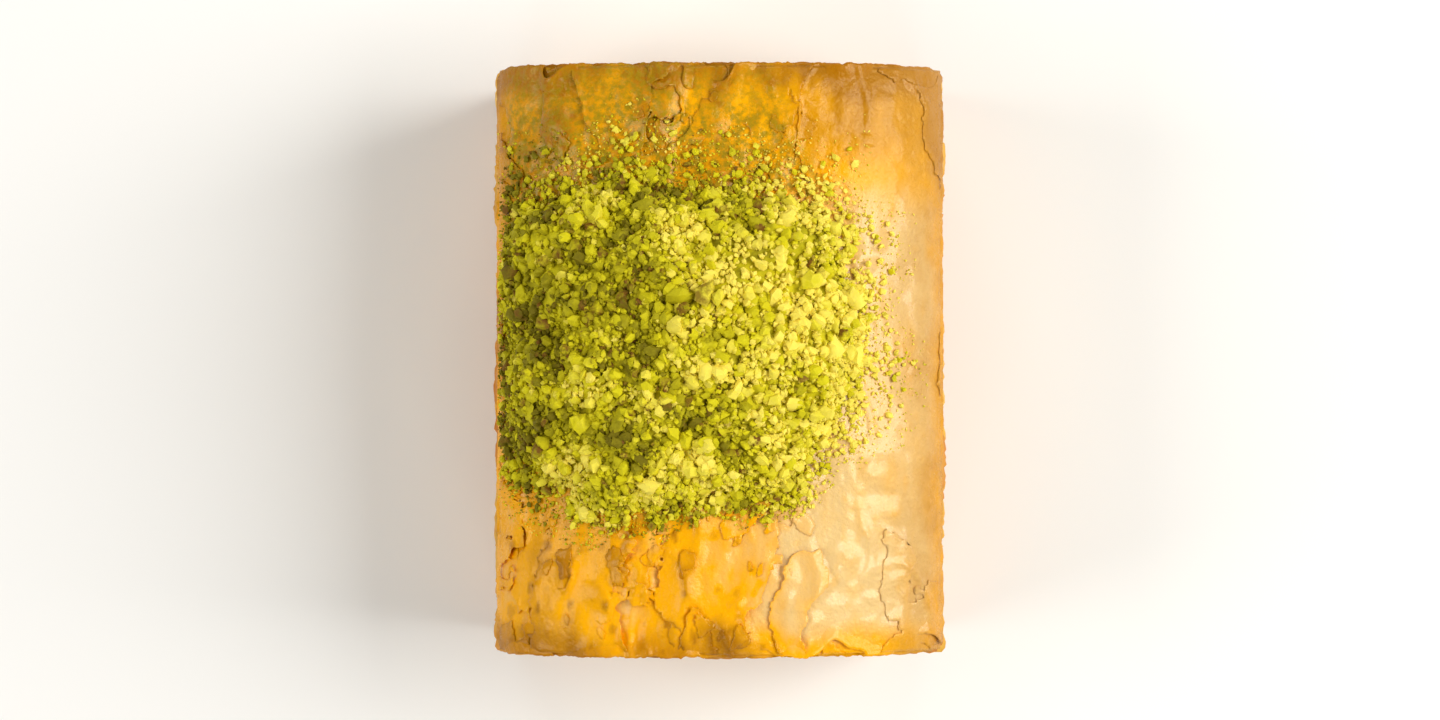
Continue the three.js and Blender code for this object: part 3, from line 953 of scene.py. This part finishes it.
def nutValues(places, chance, pointsEach, nuts):
    # One tone and skin for each chip: most are yellow-green, darker and paler in patches, which on the
    # heap are partly painted shade between clumps, paler towards high X, which is painted light from the
    # right, and a few carry brown skin.
    x, y, z = places.T
    patch = nuts["patches"] * fractal(x / 4.4, y / 3.6, 441, 2, z / 4)
    # Paler towards high X: painted light from the light on the right.
    patch = patch - nuts["paintedLight"] * (0.06 * x + ease(x, 1, 8))
    tone = chance.normal(0.4, 0.2, len(places)) + patch
    skin = ease(chance.random(len(places)) + 0.3 * patch, 0.88, 0.94)
    return {"tone": np.repeat(tone, pointsEach), "dust": np.repeat(skin, pointsEach)}


def makeChips(name, chips, places, size, chance, nuts, proud=None):
    # A copy of one of the shapes at each place, turned by chance. proud is given for cut chips.
    shapes, faces = chipShapes(nuts["kinds"], *chips["grid"], chips["seed"])
    count, pointsEach = len(places), shapes.shape[1]
    kind = chance.integers(len(shapes), size=count)
    small = np.einsum("nij,nvj->nvi", turned(count, chance), shapes[kind])
    points = places[:, None] + size[:, None, None] * small
    if proud is not None:
        shave(points, proud[:, None, None])
    values = nutValues(places, chance, pointsEach, nuts)
    shape = points.reshape(-1, 3), repeated(faces, pointsEach, count), values
    makePiece(name, shape, nuts["material"], crease=nuts["crease"])


def shave(points, proud):
    # What stands out of the cut outline by more than proud is pressed back by a share of that. The
    # distance out is that from the corner centres' rectangle less the corner radius.
    radius = form["cornerRadius"]
    beyond = np.abs(points[..., :2]) - [halfWidth - radius, halfLength - radius]
    outer = np.maximum(beyond, 0)
    far = np.linalg.norm(outer, axis=-1, keepdims=True)
    out = far + np.minimum(beyond.max(-1, keepdims=True), 0) - radius - proud
    direction = np.sign(points[..., :2]) * outer / np.maximum(far, 1e-6)
    points[..., :2] -= direction * filling["pressed"] * np.maximum(out, 0)


# Chips on the heap, the largest first. spread: how far out they lie, as a share of the heap's reach.
# lift: how far each rises, as a share of its size. grid: rings of points and points round.
nuts = {"kinds": 24, "crease": 35}  # shapes of chip, and the angle past which an edge is sharp
# On the heap the patches are stronger, partly painted shade between clumps, and paler at high X: painted
# light.
heapNuts = {**nuts, "material": groundNut, "slot": "pistachio_topping", "patches": 0.6, "paintedLight": 0.24}
heapChips = {
    "coarseChips": dict(count=70, size=(1.2, 1.9), spread=1.0, lift=0.1, grid=(4, 7), seed=501),
    "middleChips": dict(count=1500, size=(0.6, 1.25), spread=1.08, lift=0.2, grid=(3, 6), seed=502),
    "fineChips": dict(count=7800, size=(0.28, 0.65), spread=1.16, lift=0.3, grid=(2, 5), seed=503),
    "fringeChips": dict(count=3200, size=(0.2, 0.75), spread=1.55, lift=0.3, grid=(2, 5), seed=505),
    "pistachioDust": dict(count=9000, size=(0.12, 0.3), spread=1.7, lift=0.3, grid=(1, 4), seed=504),
}
for name, chips in heapChips.items():
    # The chips cover the heap evenly. The fringe and the dust start inside its edge and thin out as the
    # square of the way to their spread, further out along the piece than across it.
    chance, count, spread = np.random.default_rng(chips["seed"]), chips["count"], chips["spread"]
    angle, drawn = chance.uniform(0, 2 * np.pi, count), chance.random(count)
    if spread > 1.3:
        away = spread - 1 + 0.25 * np.sin(angle)
        share = 0.9 + away * drawn**2.2 * (0.7 + 0.8 * noise(3 * np.cos(angle), 3 * np.sin(angle), 453, 0))
    else:
        share = spread * np.sqrt(drawn)
    x, y = heapPlace(share, angle)
    size = mix(*chips["size"], chance.random(count) ** 1.5)
    frayed = share + 0.22 * fractal(x / 2, y / 2, 451) < mix(1.02, spread, 0.7)
    kept = frayed & (np.abs(x) < halfWidth - 0.4 * size) & (np.abs(y) < halfLength - 0.4 * size)
    x, y, size = x[kept], y[kept], size[kept]
    ground = heapTop(x, y) + tornTop(x, y) * ease(heapShare(x, y), 0.8, 1)
    places = np.stack([x, y, ground + chips["lift"] * size], -1)
    makeChips(name, chips, places, size, chance, heapNuts)


# The pistachio layer.
filling = {
    "inset": 0.9,
    "rows": 22,
    "bump": 0.45,
    "pressed": 0.6,  # how far the knife pressed back what stood out
    "seed": 71,
}


def fillingCore():
    # Rings up the cut outline, drawn in by the inset and roughened by noise as a half sine of the way
    # up, with two smaller rings at either end.
    (px, py), (gx, gy) = outlinePoint.T, outlineGrowth.T
    height = np.linspace(0, 1, filling["rows"])[:, None]
    rough = filling["bump"] * fractal(px / 1.3, py / 1.3, filling["seed"], z=5 * height)
    out = rough * np.sin(np.pi * height) - filling["inset"]
    share = np.concatenate([[0.5, 0.9], np.ones(filling["rows"]), [0.9, 0.5]])[:, None]
    out, height = (np.pad(values, ((2, 2), (0, 0)), "edge") for values in (out, height))
    x, y = (px + gx * out) * share, (py + gy * out) * share
    z = mix(fillingBottom(x, y), fillingTop(x, y), height)
    points, faces = ringSolid(x, y, z, *poles(fillingBottom, fillingTop))
    tone = 0.6 + 0.3 * fractal(points[:, 0] / 1.5, points[:, 1] / 1.5, 431, z=points[:, 2] / 1.5)
    return points, faces, {"tone": tone}


makePiece("fillingCore", fillingCore(), pressedNut, ["pistachio_layer"])

# Chips in the layer. Each is cut off at its own distance outside the piece's cut, proud, and lies
# behind that by a share of its size.
fillingNuts = {**nuts, "material": pressedNut, "slot": "pistachio_filling", "patches": 0.3, "paintedLight": 0}
fillingChips = {
    "largeFillingChips": dict(count=1500, size=(1.1, 2.6), proud=(-0.7, 0.05), grid=(3, 6), seed=511),
    "smallFillingChips": dict(count=4200, size=(0.35, 1.0), proud=(-0.5, 0.2), grid=(2, 5), seed=512),
}
for name, chips in fillingChips.items():
    chance, count = np.random.default_rng(chips["seed"]), chips["count"]
    column = chance.integers(len(outlinePoint), size=count)
    size = mix(*chips["size"], chance.random(count) ** 1.5)
    proud = chance.uniform(*chips["proud"], count)
    inset = chance.uniform(0.08, 0.45, count) * size - proud
    x, y = (outlinePoint[column] - outlineGrowth[column] * inset[:, None]).T
    margin = 0.3 * size
    z = mix(fillingBottom(x, y) + margin, fillingTop(x, y) - margin, chance.random(count))
    makeChips(name, chips, np.stack([x, y, z], -1), size, chance, fillingNuts, proud)

# Light, floor and camera.
studio = {
    "floorSide": 6.0,
    "floorTint": (246, 245, 242),
    "floorRoughness": 0.8,
    "lightTint": (1.0, 0.985, 0.955),
    "cameraHeight": 0.33,
    "lens": 100,
    "worldStrength": 0.12,
    "lights": {  # place, size and power
        "keyLight": ((0.42, 0.05, 0.4), (0.32, 0.42), 3.25),
        "frontLight": ((0.02, -0.6, 0.36), (0.45, 0.32), 1.1),
        "backLight": ((-0.05, 0.6, 0.42), (0.45, 0.32), 1.1),
        "leftLight": ((-0.6, -0.05, 0.45), (0.45, 0.4), 2.6),
    },
}


def makeFloor():
    # a square round the origin, facing up
    far = studio["floorSide"] / 2
    mesh = bpy.data.meshes.new("floor")
    mesh.from_pydata([(-far, -far, 0), (far, -far, 0), (far, far, 0), (-far, far, 0)], [], [range(4)])
    material = bpy.data.materials.new("floorPaint")
    material.use_nodes = True
    tree = material.node_tree
    inputs = {"Base Color": colour(*studio["floorTint"]), "Roughness": studio["floorRoughness"]}
    setInputs(tree, tree.nodes["Principled BSDF"], inputs)
    mesh.materials.append(material)
    floor = addObject("floor", mesh)


makeFloor()
for name, (place, size, power) in studio["lights"].items():
    # an area light that faces the origin
    light = bpy.data.lights.new(name, "AREA")
    light.shape = "RECTANGLE"
    light.size, light.size_y = size
    light.energy, light.color = power, studio["lightTint"]
    lamp = addObject(name, light)
    lamp.location = place
    lamp.rotation_euler = (-lamp.location).to_track_quat("-Z", "Y").to_euler()
scene = bpy.context.scene
scene.world = bpy.data.worlds.new("studioWorld")
scene.world.use_nodes = True
tree = scene.world.node_tree
setInputs(tree, tree.nodes["Background"], {"Color": (1, 1, 1, 1), "Strength": studio["worldStrength"]})
scene.view_settings.view_transform = "Standard"

camera = addObject("camera", bpy.data.cameras.new("camera"))
camera.data.lens = studio["lens"]
camera.location = (0, 0, studio["cameraHeight"])
scene.camera = camera
print("studio made")
